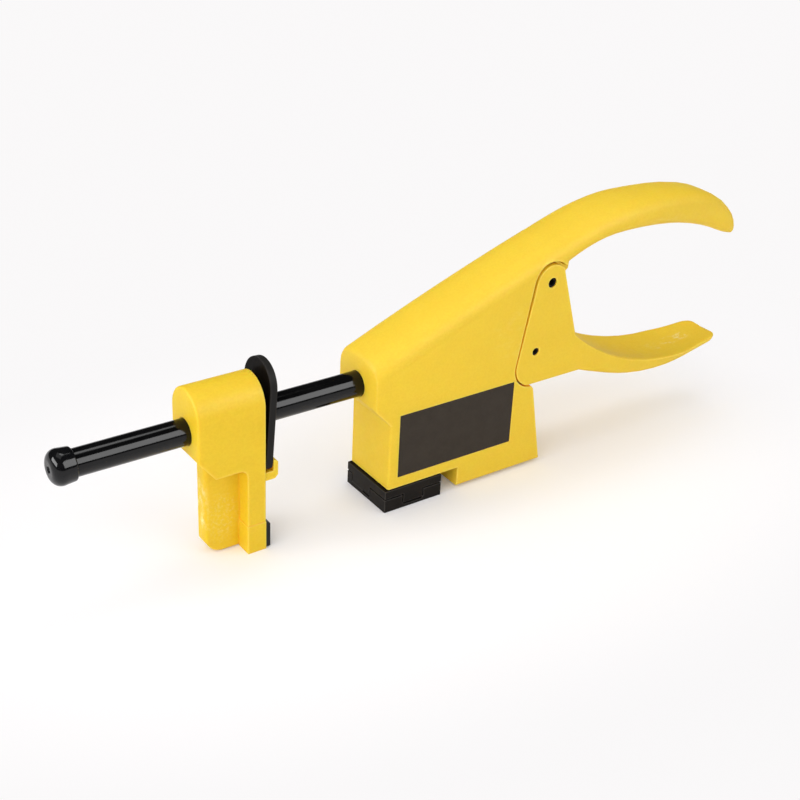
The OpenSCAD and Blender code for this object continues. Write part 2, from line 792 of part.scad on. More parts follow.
fork_clear = 2.6;
slot_floor = rod_z - rod_r - fork_clear;
slot_back = drive[0] + rod_tail + fork_clear;
fork_z = rod_z + rod_r + 1.25 * fork_clear;
module squeeze_lever() {
    color(yellow) place() difference() {
        loft(lever_sections());
        // front edge, heel and dome
        side_slab(concat(
            [[heel[0], lever_floor - over]],
            lever_edge(0, 0, 25),
            [pivot + [far, 5], pivot + [far, far], [-over, pivot[1] + far], [-over, lever_floor - over]]
        ), body_w + 2 * over);
        // slot between the cheeks for the lug and the rod
        translate([0, -cheek_in, slot_floor])
            cube([slot_back, 2 * cheek_in, far]);
        translate([0, -cheek_in, fork_z])
            cube([pivot[0] + far, 2 * cheek_in, far]);
        cross_cylinder(pivot_pin_d / 2 + fit_press, pivot, body_w + 2 * over);
        cross_cylinder(drive_pin_d / 2 + fit_press, drive, body_w + 2 * over);
    }
}

// Rolled spring pin across the lever, open along one side
module rolled_pin(d, at) {
    pin_len = body_w - 2 * pin_sunk;
    split = 0.15 * d;
    difference() {
        cross_cylinder(d / 2, at, pin_len);
        cross_cylinder(d / 2 - pin_wall, at, pin_len + 2 * over);
        translate([at[0] - d, -pin_len, at[1] - split / 2])
            cube([d, 2 * pin_len, split]);
    }
}

module pivot_pin() {
    color(black) place() rolled_pin(pivot_pin_d, pivot);
}

module drive_pin() {
    color(black) place() rolled_pin(drive_pin_d, drive);
}

hook_z = plate_foot[1] - stop_gap - seam;
hook_side = 0.5;
rib_lift = 0.6;
// Rounded top of the jaw's block, with the same rounding on its front edge as the block
module jaw_arch() {
    rim = arc([jaw_half - jaw_round, jaw_round], jaw_round, -90, 0, edge_steps);
    translate([jaw_front, 0, arch_z])
        rotate([0, 90, 0])
            rotate_extrude()
                polygon(concat([[0, 0]], rim, [[jaw_half, jaw_len], [0, jaw_len]]));
}

module clamp_jaw() {
    chin_z = block_z + jaw_slope_h;
    rib_x = leg_front - rib_l;
    band_in = 0.3;
    hook_out = hook_in + hook_t;
    hook_edge = 0.4 * hook_ledge;
    color(yellow) place() difference() {
        union() {
            intersection() {
                side_slab(concat(
                    [[jaw_back, arch_z], [jaw_front, arch_z]],
                    [[jaw_front, chin_z], [jaw_front + jaw_slope_l, block_z]],
                    arc([leg_front - leg_fillet, block_z - leg_fillet], leg_fillet, 90, 0, 6),
                    [[leg_front, 0], [jaw_back, 0]]
                ), jaw_w);
                front_rounded(jaw_front, jaw_back, jaw_w, jaw_round, 0, arch_z);
            }
            jaw_arch();
            // rib in front of the leg
            intersection() {
                side_slab(concat(
                    [[jaw_back - over, rib_lift], [jaw_back - over, block_z + over]],
                    [[rib_x, block_z + over]],
                    arc([rib_x + rib_round, rib_lift + rib_round], rib_round, 180, 270, 8)
                ), rib_w);
                front_rounded(rib_x, jaw_back, rib_w, rib_edge, 0, block_z + over);
            }
            // thicker band at the foot
            translate([leg_front - band_in, -jaw_half - band_proud, 0])
                cube([leg_t + band_in, jaw_w + 2 * band_proud, band_h]);
            // hook that carries the lock plate
            side_slab([
                [jaw_back - over, hook_z - hook_ledge],
                [jaw_back + hook_out - hook_edge, hook_z - hook_ledge],
                [jaw_back + hook_out, hook_z - hook_ledge + hook_edge],
                [jaw_back + hook_out, hook_z + hook_lip - hook_t / 2],
                [jaw_back + hook_out - hook_t / 2, hook_z + hook_lip],
                [jaw_back + hook_in, hook_z + hook_lip],
                [jaw_back + hook_in, hook_z],
                [jaw_back - over, hook_z]
            ], jaw_w - 2 * hook_side);
        }
        rod_cylinder(rod_r + fit_slide, jaw_front - over, jaw_back + over);
        rod_cylinder(lock_pocket_r, jaw_back - lock_pocket, jaw_back + over);
    }
}

pad_lift = 0.4;
module jaw_pad() {
    color(rubber) place()
        side_slab([
            [jaw_back, pad_lift],
            [jaw_back + pad_t, pad_lift],
            [jaw_back + pad_t, pad_lift + pad_h - pad_chamfer],
            [jaw_back + pad_t * 0.1, pad_lift + pad_h],
            [jaw_back, pad_lift + pad_h]
        ], jaw_w);
}

// The plate is drawn upright on its foot and then leant back
plate_height = (plate_up + plate_down) / cos(plate_lean);
plate_hole_up = (plate_down + plate_t / 2 * sin(plate_lean)) / cos(plate_lean);
plate_hole_r = (rod_d + plate_t * sin(plate_lean)) / cos(plate_lean) / 2 + seam;
plate_corner = 2.5;
module lock_plate() {
    top_r = plate_w / 2;
    color(dark_steel) place()
        translate([plate_foot[0], 0, plate_foot[1]])
            rotate([0, plate_lean, 0])
                difference() {
                    union() {
                        translate([0, -plate_w / 2, plate_corner])
                            cube([plate_t, plate_w, plate_height - top_r - plate_corner]);
                        translate([0, -plate_w / 2 + plate_corner, 0])
                            cube([plate_t, plate_w - 2 * plate_corner, plate_height - top_r]);
                        for (s = [-1, 1])
                            translate([0, s * (plate_w / 2 - plate_corner), plate_corner])
                                rotate([0, 90, 0])
                                    cylinder(r = plate_corner, h = plate_t);
                        translate([0, 0, plate_height - top_r])
                            rotate([0, 90, 0])
                                cylinder(r = top_r, h = plate_t);
                    }
                    translate([-over, 0, plate_hole_up])
                        rotate([0, 90, 0])
                            cylinder(r = plate_hole_r, h = plate_t + 2 * over);
                }
}

lock_end = plate_foot[0] + (plate_down + lock_r - lock_wire) * tan(plate_lean) - seam;
lock_path = coil_path(lock_r, lock_wire, jaw_back - lock_pocket, lock_end, lock_turns,
    90 - 2 * lock_wire * 180 / (PI * lock_r));
module lock_spring() {
    color(steel) place() coil(lock_path, lock_wire);
}

// The head's four sides: a tongue of the upper plate hangs in a notch of the block over a narrow slot
side_turn = [0, 90, 180, 270];
function tongue_w(a) = a % 180 == 0 ? point_tongue_w : wide_slot_w;
function slot_w(a) = a % 180 == 0 ? point_slot_w : wide_slot_w;
function tongue_off(a) = (tongue_w(a) - slot_w(a)) / 2;
tongue_z = slot_lip + slot_h;
joint_half = head_half - 1.6 * head_joint;

module head_block() {
    color(black) place() difference() {
        translate([-head_half, -head_half, 0])
            cube([head_w, head_w, block_h]);
        for (a = side_turn)
            rotate([0, 0, a]) {
                translate([-head_half - over, tongue_off(a) - tongue_w(a) / 2 - head_joint, tongue_z])
                    cube([slot_deep + seam + over, tongue_w(a) + 2 * head_joint, head_h]);
                translate([-head_half - over, -slot_w(a) / 2, slot_lip])
                    cube([slot_deep + seam + over, slot_w(a), slot_h + over]);
            }
        translate([0, 0, -over])
            cylinder(r = screw_shoulder_d / 2 + fit_run, h = head_h + 2 * over);
        translate([0, 0, -over])
            cylinder(r = screw_head_d / 2 + 0.4, h = screw_seat + over);
    }
}

module head_plate() {
    color(black) place() difference() {
        union() {
            translate([-head_half, -head_half, block_h + head_joint])
                cube([head_w, head_w, head_plate_t - head_joint]);
            translate([-joint_half, -joint_half, block_h])
                cube([2 * joint_half, 2 * joint_half, head_plate_t]);
            for (a = side_turn)
                rotate([0, 0, a])
                    translate([-head_half, tongue_off(a) - tongue_w(a) / 2, tongue_z])
                        cube([slot_deep, tongue_w(a), head_h - tongue_z]);
        }
        translate([0, 0, -over])
            cylinder(r = screw_shoulder_d / 2 + fit_run, h = head_h + 2 * over);
    }
}

echo(return_spring_least_gap = least_gap(return_path, return_wire));
echo(lock_spring_least_gap = least_gap(lock_path, lock_wire));

housing();
side_label();
rod_guide_bush();
head_insert();
head_screw();
head_spring_washer();
return_spring();
clamp_rod();
rod_end_cap();
retaining_ring();
spring_washer();
squeeze_lever();
pivot_pin();
drive_pin();
clamp_jaw();
jaw_pad();
lock_plate();
lock_spring();
head_block();
head_plate();
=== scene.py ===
"""Looks of the framing point driver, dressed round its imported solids."""

import logging
import math
from dataclasses import dataclass, field, replace
from enum import Enum

import bmesh
import bpy
from mathutils import Matrix, Vector


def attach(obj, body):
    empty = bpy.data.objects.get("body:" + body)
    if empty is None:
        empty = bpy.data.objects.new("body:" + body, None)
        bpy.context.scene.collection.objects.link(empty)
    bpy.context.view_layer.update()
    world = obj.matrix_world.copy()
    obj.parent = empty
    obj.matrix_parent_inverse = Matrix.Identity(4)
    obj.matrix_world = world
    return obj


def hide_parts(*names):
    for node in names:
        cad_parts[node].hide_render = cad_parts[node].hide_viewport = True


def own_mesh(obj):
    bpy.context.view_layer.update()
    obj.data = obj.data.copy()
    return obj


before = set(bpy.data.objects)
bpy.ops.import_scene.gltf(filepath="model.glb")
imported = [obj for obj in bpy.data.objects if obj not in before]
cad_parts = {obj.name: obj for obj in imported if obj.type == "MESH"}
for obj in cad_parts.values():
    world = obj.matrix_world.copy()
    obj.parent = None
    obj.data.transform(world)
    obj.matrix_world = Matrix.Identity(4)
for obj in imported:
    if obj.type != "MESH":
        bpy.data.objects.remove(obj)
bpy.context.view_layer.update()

LOG = logging.getLogger("point_driver")

Colour = tuple[float, float, float]
Point = tuple[float, float, float]
Band = tuple[float, float]

MM = 0.001
PHOTO_SIDE = 800
SENSOR_WIDTH = 36.0
ROD_HEIGHT = 50.0 * MM
HEAD_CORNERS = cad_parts["head_block"].bound_box
HEAD_X = sum(corner[0] for corner in HEAD_CORNERS) / len(HEAD_CORNERS)
WHITE: Colour = (1.0, 1.0, 1.0)


class Slot(str, Enum):
    """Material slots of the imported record."""

    YELLOW = "yellow_plastic"
    LABEL = "label_film"
    ROD = "black_rod"
    VINYL = "black_vinyl"
    PLATE = "plate_steel"
    HEAD = "head_black"
    PAD = "pad_rubber"
    PIN = "pin_black"
    SPRING = "spring_steel"
    BRASS = "brass"


class Body(str, Enum):
    """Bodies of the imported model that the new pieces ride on."""

    FRAME = "frame"
    JAW = "jaw"


class Lay(Enum):
    """Direction in which fine working marks run, as a stretch of the noise along X, Y and Z."""

    NONE = (1.0, 1.0, 1.0)
    ALONG_ROD = (0.04, 1.0, 1.0)
    ACROSS_ROD = (1.0, 0.05, 0.05)
    UPRIGHT = (1.0, 1.0, 0.06)


class Seen(Enum):
    """What a lamp shows on: every surface, matt colour alone, or gloss alone."""

    ALL = (True, True)
    MATT = (True, False)
    SHINE = (False, True)


def rgba(colour: object) -> object:
    """Give a plain colour its alpha, and pass a socket through."""
    return colour if isinstance(colour, bpy.types.NodeSocket) else (*colour, 1.0)


def add_object(name: str, data: bpy.types.ID) -> bpy.types.Object:
    """Put a mesh, a lamp or a camera into the scene.

    Args:
        name: the object's name.
        data: what it shows.

    Returns:
        The new object.
    """
    made = bpy.data.objects.new(name, data)
    bpy.context.scene.collection.objects.link(made)
    return made


class Graph:
    """One node tree, with short calls to add and join its nodes."""

    # Places of the colour sockets on a Mix node.
    MIX_FIRST = 6
    MIX_SECOND = 7
    MIX_RESULT = 2

    def __init__(self, tree: bpy.types.NodeTree) -> None:
        """Keep the tree.

        Args:
            tree: the node tree to fill.
        """
        self.tree = tree

    @classmethod
    def fresh(cls, owner: bpy.types.Material | bpy.types.World) -> "Graph":
        """Empty the node tree of a material or a world.

        Args:
            owner: what the tree belongs to.

        Returns:
            Its graph.
        """
        owner.use_nodes = True
        owner.node_tree.nodes.clear()
        return cls(owner.node_tree)

    def add(self, kind: str, settings: dict[str, object] | None = None,
            **inputs: object) -> bpy.types.Node:
        """Add a node.

        Args:
            kind: Blender's name of the node's type.
            settings: properties of the node itself.
            inputs: values or output sockets by input name, with _ for a space.

        Returns:
            The new node.
        """
        node = self.tree.nodes.new(kind)
        for key, value in (settings or {}).items():
            setattr(node, key, value)
        for key, value in inputs.items():
            self.feed(node.inputs[key.replace("_", " ")], value)
        return node

    def feed(self, socket: bpy.types.NodeSocket, value: object) -> None:
        """Link an output socket to an input, or set the input's own value.

        Args:
            socket: the input.
            value: an output socket, or a plain value.
        """
        if isinstance(value, bpy.types.NodeSocket):
            self.tree.links.new(value, socket)
        else:
            socket.default_value = value

    def math(self, operation: str, a: object, b: object = 0.0,
             clamp: bool = False) -> bpy.types.NodeSocket:
        """Add a Math node.

        Args:
            operation: what it works out.
            a: first value or socket.
            b: second value or socket.
            clamp: whether the result is held between 0 and 1.

        Returns:
            The node's output.
        """
        node = self.add("ShaderNodeMath", {"operation": operation, "use_clamp": clamp})
        self.feed(node.inputs[0], a)
        self.feed(node.inputs[1], b)
        return node.outputs[0]

    def vector(self, operation: str, a: object,
               b: object = (0.0, 0.0, 0.0)) -> bpy.types.NodeSocket:
        """Add a Vector Math node.

        Args:
            operation: what it works out.
            a: first vector or socket.
            b: second vector or socket.

        Returns:
            The node's vector, or its value where the operation gives one.
        """
        node = self.add("ShaderNodeVectorMath", {"operation": operation})
        self.feed(node.inputs[0], a)
        self.feed(node.inputs[1], b)
        return node.outputs["Value" if operation in ("DOT_PRODUCT", "LENGTH") else "Vector"]

    def noise(self, place: object, scale: object, detail: float,
              roughness: float = 0.5) -> bpy.types.NodeSocket:
        """Add a noise texture.

        Args:
            place: where it is read.
            scale: its size, in clouds to the metre.
            detail: how many finer layers it has.
            roughness: how strong these are.

        Returns:
            The noise, mostly between 0.3 and 0.7.
        """
        return self.add("ShaderNodeTexNoise", Vector=place, Scale=scale, Detail=detail,
                        Roughness=roughness).outputs["Fac"]

    def blend(self, share: object, a: object, b: object) -> bpy.types.NodeSocket:
        """Mix two colours.

        Args:
            share: how much of the second colour, from 0 to 1.
            a: first colour.
            b: second colour.

        Returns:
            The mixed colour.
        """
        node = self.add("ShaderNodeMix", {"data_type": "RGBA"})
        self.feed(node.inputs[0], share)
        self.feed(node.inputs[self.MIX_FIRST], rgba(a))
        self.feed(node.inputs[self.MIX_SECOND], rgba(b))
        return node.outputs[self.MIX_RESULT]

    def mix(self, share: object, a: bpy.types.Node, b: bpy.types.Node) -> bpy.types.NodeSocket:
        """Mix two shaders.

        Args:
            share: how much of the second shader, from 0 to 1.
            a: first shader's node.
            b: second shader's node.

        Returns:
            The mixed shader.
        """
        node = self.add("ShaderNodeMixShader")
        for socket, given in zip(node.inputs, (share, a.outputs[0], b.outputs[0])):
            self.feed(socket, given)
        return node.outputs[0]

    def ramp(self, value: object, low: object, high: object,
             to_low: float = 0.0, to_high: float = 1.0) -> bpy.types.NodeSocket:
        """Map a value smoothly from one range to another.

        Args:
            value: the value to map.
            low: where the ramp starts.
            high: where it ends.
            to_low: result at the start.
            to_high: result at the end.

        Returns:
            The mapped value.
        """
        node = self.add("ShaderNodeMapRange", {"interpolation_type": "SMOOTHSTEP"})
        for socket, given in zip(node.inputs, (value, low, high, to_low, to_high)):
            self.feed(socket, given)
        return node.outputs[0]


class Effects:
    """Shader node groups that several finishes share, each built once.

    A band is the range of a value over which its mask rises from 0 to 1.
    """

    cloud_band: Band = (0.3, 0.7)
    fleck_band: Band = (0.35, 0.65)
    grain_band: Band = (0.36, 0.64)
    wide_scale = 0.17
    wide_share = 0.3
    edge_band: Band = (0.015, 0.2)
    broken_band: Band = (0.34, 0.66)
    broken_least = 0.25
    patch_band: Band = (1.0, 0.35)
    rubbed_band: Band = (0.46, 0.68)

    def __init__(self) -> None:
        """Build the groups."""
        self.mottle = self._mottle()
        self.grain = self._grain()
        self.edge_wear = self._edge_wear()
        self.scuff = self._scuff()
        # Masks for the painted glow and shade in gaps and the painted highlight on outer edges.
        self.painted_gap_glow_mask = self._nearness("painted_gap_glow_mask", False)
        self.painted_edge_highlight_mask = self._nearness("painted_edge_highlight_mask", True)

    @staticmethod
    def _start(name: str, inputs: dict[str, object], outputs: tuple[str, ...] = ("Mask",)
               ) -> tuple[Graph, bpy.types.NodeOutputs, bpy.types.NodeInputs]:
        """Make an empty group with named sockets.

        Args:
            name: the group's name.
            inputs: default value of each input; three numbers make it a vector.
            outputs: names of the values that it gives.

        Returns:
            The graph, the values given to it and the sockets for its results.
        """
        tree = bpy.data.node_groups.new(name, "ShaderNodeTree")
        for key, value in inputs.items():
            kind = "NodeSocketVector" if isinstance(value, tuple) else "NodeSocketFloat"
            socket = tree.interface.new_socket(key, in_out="INPUT", socket_type=kind)
            socket.default_value = value
        for key in outputs:
            tree.interface.new_socket(key, in_out="OUTPUT", socket_type="NodeSocketFloat")
        graph = Graph(tree)
        return graph, graph.add("NodeGroupInput").outputs, graph.add("NodeGroupOutput").inputs

    def _mottle(self) -> bpy.types.NodeTree:
        """Build the cloudy change of shade seen in moulded or coated surfaces.

        Returns:
            A group that gives a mask from 0 to 1.
        """
        graph, given, out = self._start(
            "mottle", {"Vector": (0.0, 0.0, 0.0), "Cloud": 80.0, "Fleck": 900.0,
                       "Fleck Share": 0.3})
        cloud = graph.noise(given["Vector"], given["Cloud"], 3.0, 0.55)
        fleck = graph.noise(given["Vector"], given["Fleck"], 2.0, 0.6)
        soft = graph.ramp(cloud, *self.cloud_band)
        fine = graph.ramp(fleck, *self.fleck_band)
        part = graph.math("MULTIPLY", fine, given["Fleck Share"])
        rest = graph.math("SUBTRACT", 1.0, given["Fleck Share"])
        whole = graph.math("ADD", part, graph.math("MULTIPLY", soft, rest), clamp=True)
        graph.feed(out["Mask"], whole)
        return graph.tree

    def _grain(self) -> bpy.types.NodeTree:
        """Build the fine skin of a surface, stretched where it was drawn, turned or ground.

        Returns:
            A group that gives a height and a mask from 0 to 1.
        """
        graph, given, out = self._start(
            "grain", {"Vector": (0.0, 0.0, 0.0), "Stretch": (1.0, 1.0, 1.0), "Scale": 2500.0},
            ("Height", "Mask"))
        drawn = graph.vector("MULTIPLY", given["Vector"], given["Stretch"])
        fine = graph.noise(drawn, given["Scale"], 4.0, 0.62)
        wide = graph.noise(drawn, graph.math("MULTIPLY", given["Scale"], self.wide_scale), 2.0)
        mixed = graph.math("ADD", graph.math("MULTIPLY", fine, 1 - self.wide_share),
                           graph.math("MULTIPLY", wide, self.wide_share))
        graph.feed(out["Height"], mixed)
        graph.feed(out["Mask"], graph.ramp(mixed, *self.grain_band))
        return graph.tree

    def _edge_wear(self) -> bpy.types.NodeTree:
        """Build the rubbed line along edges, broken up by noise.

        Returns:
            A group that gives a mask from 0 to 1.
        """
        graph, given, out = self._start(
            "edge_wear", {"Vector": (0.0, 0.0, 0.0), "Radius": 0.0006, "Patch": 220.0,
                          "Amount": 0.5})
        rounded = graph.add("ShaderNodeBevel", {"samples": 4}, Radius=given["Radius"])
        flat = graph.add("ShaderNodeNewGeometry")
        dot = graph.vector("DOT_PRODUCT", rounded.outputs["Normal"], flat.outputs["Normal"])
        edge = graph.ramp(graph.math("SUBTRACT", 1.0, dot), *self.edge_band)
        broken = graph.ramp(graph.noise(given["Vector"], given["Patch"], 5.0, 0.65),
                            *self.broken_band, self.broken_least)
        worn = graph.math("MULTIPLY", graph.math("MULTIPLY", edge, broken), given["Amount"],
                          clamp=True)
        graph.feed(out["Mask"], worn)
        return graph.tree

    def _scuff(self) -> bpy.types.NodeTree:
        """Build a rubbed patch with a soft oval outline.

        Returns:
            A group that gives a mask from 0 to 1.
        """
        graph, given, out = self._start(
            "scuff", {"Vector": (0.0, 0.0, 0.0), "Centre": (0.0, 0.0, 0.0),
                      "Reach": (0.01, 0.01, 0.01), "Stretch": (1.0, 1.0, 1.0),
                      "Scale": 700.0, "Amount": 0.5})
        off = graph.vector("SUBTRACT", given["Vector"], given["Centre"])
        far = graph.vector("LENGTH", graph.vector("DIVIDE", off, given["Reach"]))
        inside = graph.ramp(far, *self.patch_band)
        drawn = graph.vector("MULTIPLY", given["Vector"], given["Stretch"])
        rubbed = graph.ramp(graph.noise(drawn, given["Scale"], 6.0, 0.7), *self.rubbed_band)
        worn = graph.math("MULTIPLY", graph.math("MULTIPLY", inside, rubbed), given["Amount"],
                          clamp=True)
        graph.feed(out["Mask"], worn)
        return graph.tree

    def _nearness(self, name: str, inside: bool) -> bpy.types.NodeTree:
        """Build a mask of how near other walls are, in gaps or from within the solid.

        Args:
            name: the group's name.
            inside: whether it looks into the solid, which finds its outer edges.

        Returns:
            A group that gives a mask from 0 to 1.
        """
        graph, given, out = self._start(
            name, {"Reach": 0.0012, "Amount": 0.8, "Open": 0.85, "Shut": 0.3})
        clear = graph.add("ShaderNodeAmbientOcclusion",
                          {"samples": 6, "inside": inside, "only_local": inside},
                          Distance=given["Reach"]).outputs["AO"]
        near = graph.ramp(clear, given["Open"], given["Shut"])
        graph.feed(out["Mask"], graph.math("MULTIPLY", near, given["Amount"], clamp=True))
        return graph.tree


@dataclass(frozen=True)
class Patch:
    """A place where the surface has been rubbed, in metres at rest."""

    centre: Point
    reach: Point
    amount: float
    scale: float = 700.0
    stretch: Point = (1.0, 1.0, 1.0)


@dataclass(frozen=True)
class Finish:
    """One surface finish. Sizes are in metres and colours are linear.

    deep and pale are the shades that cloud and fleck mix. grain, depth and lay make the skin.
    worn is the colour of rubbed edges and rubbed that of the patches. The edge highlight colour
    is a painted highlight on outer edges, the gap colour a painted amber glow and shade in
    narrow gaps, and rim is the cut edge of a flat piece.
    """

    name: str
    slot: Slot
    deep: Colour
    pale: Colour
    rough: Band
    cloud: float = 12 * MM
    fleck: float = 1.1 * MM
    fleck_share: float = 0.3
    grain: float = 0.4 * MM
    depth: float = 0.006 * MM
    lay: Lay = Lay.NONE
    worn: Colour = (0.3, 0.3, 0.3)
    rubbed: Colour = (0.5, 0.5, 0.5)
    wear: float = 0.4
    wear_radius: float = 0.6 * MM
    wear_patch: float = 4.5 * MM
    worn_metal: bool = False
    worn_rough: float = 0.08
    metal: float = 0.0
    level: float = 0.5
    soft_edge: float = 0.0
    scatter: float = 0.0
    scatter_depth: float = 1.5 * MM
    scatter_reach: Point = (1.0, 0.4, 0.06)
    painted_gap_glow: Colour | None = None
    gap_glow_reach: float = 1.5 * MM
    gap_glow_share: float = 0.9
    painted_edge_highlight: Colour | None = None
    edge_highlight_reach: float = 1.0 * MM
    edge_highlight_share: float = 0.7
    edge_highlight_band: Band = (0.9, 0.5)
    rim: Colour | None = None
    rim_axis: Point = (1.0, 0.0, 0.0)
    rim_band: Band = (0.85, 0.5)
    patches: tuple[Patch, ...] = ()

    def material(self, effects: Effects) -> bpy.types.Material:
        """Make the finish's material.

        Args:
            effects: the shared node groups.

        Returns:
            The material.
        """
        made = bpy.data.materials.new(self.name)
        graph = Graph.fresh(made)
        place = graph.add("ShaderNodeTexCoord").outputs["Object"]
        body, worn = self._colour(graph, effects, place)
        grain = self._group(graph, effects.grain, Vector=place, Stretch=self.lay.value,
                            Scale=1 / self.grain)
        skin = graph.ramp(grain.outputs["Mask"], 0.0, 1.0, *self.rough)
        dulled = graph.math("MULTIPLY", worn, self.worn_rough)
        shader = graph.add(
            "ShaderNodeBsdfPrincipled", Base_Color=body,
            Roughness=graph.math("ADD", skin, dulled, clamp=True),
            Metallic=worn if self.worn_metal else self.metal, Specular_IOR_Level=self.level,
            Subsurface_Weight=self.scatter, Subsurface_Scale=self.scatter_depth,
            Subsurface_Radius=self.scatter_reach,
            Normal=self._normal(graph, grain.outputs["Height"]))
        graph.add("ShaderNodeOutputMaterial", Surface=shader.outputs["BSDF"])
        return made

    def _colour(self, graph: Graph, effects: Effects, place: bpy.types.NodeSocket
                ) -> tuple[bpy.types.NodeSocket, bpy.types.NodeSocket]:
        """Lay the colours over one another, from the mottle to the painted edge highlight and
        the painted amber glow and shade in gaps.

        Args:
            graph: the material's graph.
            effects: the shared node groups.
            place: where the surface is, in metres at rest.

        Returns:
            The colour, and a mask of what is worn.
        """
        mottle = self._group(graph, effects.mottle, Vector=place, Cloud=1 / self.cloud,
                             Fleck=1 / self.fleck, Fleck_Share=self.fleck_share)
        body = graph.blend(mottle.outputs["Mask"], self.deep, self.pale)
        if self.rim is not None:
            body = graph.blend(self._rim_mask(graph), body, self.rim)
        wear = self._group(graph, effects.edge_wear, Vector=place, Radius=self.wear_radius,
                           Patch=1 / self.wear_patch, Amount=self.wear)
        worn = wear.outputs["Mask"]
        body = graph.blend(worn, body, self.worn)
        for patch in self.patches:
            scuff = self._group(graph, effects.scuff, Vector=place, Centre=patch.centre,
                                Reach=patch.reach, Stretch=patch.stretch, Scale=patch.scale,
                                Amount=patch.amount).outputs["Mask"]
            worn = graph.math("MAXIMUM", worn, scuff)
            body = graph.blend(scuff, body, self.rubbed)
        # Painted highlight along outer edges.
        if self.painted_edge_highlight is not None:
            opened, shut = self.edge_highlight_band
            edge = self._group(graph, effects.painted_edge_highlight_mask, Reach=self.edge_highlight_reach,
                               Amount=self.edge_highlight_share, Open=opened, Shut=shut)
            body = graph.blend(edge.outputs["Mask"], body, self.painted_edge_highlight)
        # Painted amber glow and shade in narrow gaps and inner corners.
        if self.painted_gap_glow is not None:
            painted_gap_glow_mask = self._group(graph, effects.painted_gap_glow_mask, Reach=self.gap_glow_reach,
                                 Amount=self.gap_glow_share)
            body = graph.blend(painted_gap_glow_mask.outputs["Mask"], body, self.painted_gap_glow)
        return body, worn

    def _normal(self, graph: Graph, height: bpy.types.NodeSocket) -> bpy.types.NodeSocket:
        """Raise the grain, over edges that are eased where the mesh leaves them sharp.

        Args:
            graph: the material's graph.
            height: the grain's height.

        Returns:
            The surface's direction.
        """
        bump = graph.add("ShaderNodeBump", Strength=1.0, Distance=self.depth, Height=height)
        if self.soft_edge > 0:
            eased = graph.add("ShaderNodeBevel", {"samples": 6}, Radius=self.soft_edge)
            graph.feed(bump.inputs["Normal"], eased.outputs["Normal"])
        return bump.outputs["Normal"]

    def _rim_mask(self, graph: Graph) -> bpy.types.NodeSocket:
        """Find the cut rim of a flat piece, whose faces turn away from the axis.

        Args:
            graph: the material's graph.

        Returns:
            A mask that is 1 on the rim.
        """
        way = graph.add("ShaderNodeTexCoord").outputs["Normal"]
        dot = graph.vector("DOT_PRODUCT", way, self.rim_axis)
        return graph.ramp(graph.math("ABSOLUTE", dot), *self.rim_band)

    @staticmethod
    def _group(graph: Graph, tree: bpy.types.NodeTree, **inputs: object) -> bpy.types.Node:
        """Place a shared group in a material.

        Args:
            graph: the material's graph.
            tree: the group.
            inputs: values or sockets by input name, with _ for a space.

        Returns:
            The group's node.
        """
        return graph.add("ShaderNodeGroup", {"node_tree": tree}, **inputs)


YELLOW_DEEP: Colour = (0.825, 0.553, 0.020)
YELLOW_PALE: Colour = (0.868, 0.596, 0.027)
YELLOW_WORN: Colour = (0.93, 0.73, 0.17)
# Painted amber glow and shade for narrow gaps in the yellow plastic.
YELLOW_PAINTED_GAP_GLOW: Colour = (1.0, 0.50, 0.0)
# Painted highlight for the outer edges of the yellow plastic.
YELLOW_PAINTED_EDGE_HIGHLIGHT: Colour = (1.0, 0.735, 0.10)

# Its gap colour paints an amber glow and shade into gaps, and its edge colour paints a highlight
# on outer edges.
HOUSING_YELLOW = Finish(
    "housing_yellow", Slot.YELLOW, YELLOW_DEEP, YELLOW_PALE, (0.52, 0.66),
    fleck=0.9 * MM, fleck_share=0.6, worn=YELLOW_WORN, rubbed=YELLOW_WORN, wear=0.6,
    wear_radius=0.9 * MM, level=0.36, soft_edge=0.5 * MM, scatter=0.35, painted_gap_glow=YELLOW_PAINTED_GAP_GLOW,
    painted_edge_highlight=YELLOW_PAINTED_EDGE_HIGHLIGHT, patches=(
        Patch((35 * MM, -12.5 * MM, 60 * MM), (22 * MM, 4 * MM, 16 * MM), 0.2, 420.0,
              (0.5, 1.0, 1.4)),
        Patch((95 * MM, -9 * MM, 88 * MM), (26 * MM, 9 * MM, 9 * MM), 0.3, 500.0,
              (0.4, 1.0, 1.0))))
# On the lever the worn colour is a painted highlight along the rims, and rubbed is the colour of
# its scuffs.
LEVER_YELLOW = replace(
    HOUSING_YELLOW, name="lever_yellow", worn=(1.0, 0.72, 0.08), rubbed=(0.95, 0.83, 0.42),
    wear=1.0, wear_radius=1.0 * MM, patches=(
        Patch((124.5 * MM, 0.5 * MM, 28.5 * MM), (6.5 * MM, 4 * MM, 4 * MM), 0.75, 260.0,
              (0.7, 1.0, 1.0)),
        Patch((131.5 * MM, 0.5 * MM, 28.8 * MM), (5 * MM, 3.5 * MM, 4 * MM), 0.75, 280.0,
              (0.7, 1.0, 1.0)),
        Patch((115 * MM, -1 * MM, 28.8 * MM), (6 * MM, 4 * MM, 4 * MM), 0.25, 300.0,
              (0.7, 1.0, 1.0))))
JAW_YELLOW = replace(
    HOUSING_YELLOW, name="jaw_yellow", deep=(0.805, 0.53, 0.009), pale=(0.85, 0.577, 0.014),
    rough=(0.5, 0.62), rubbed=(0.94, 0.80, 0.36), wear=0.15, wear_radius=0.8 * MM,
    soft_edge=0.7 * MM, patches=(
        Patch((-94.5 * MM, 0.0, 19 * MM), (3 * MM, 4.5 * MM, 17 * MM), 1.0, 420.0,
              (1.0, 1.0, 0.6)),
        Patch((-88 * MM, -4 * MM, 14 * MM), (9 * MM, 3 * MM, 15 * MM), 0.3, 900.0)))
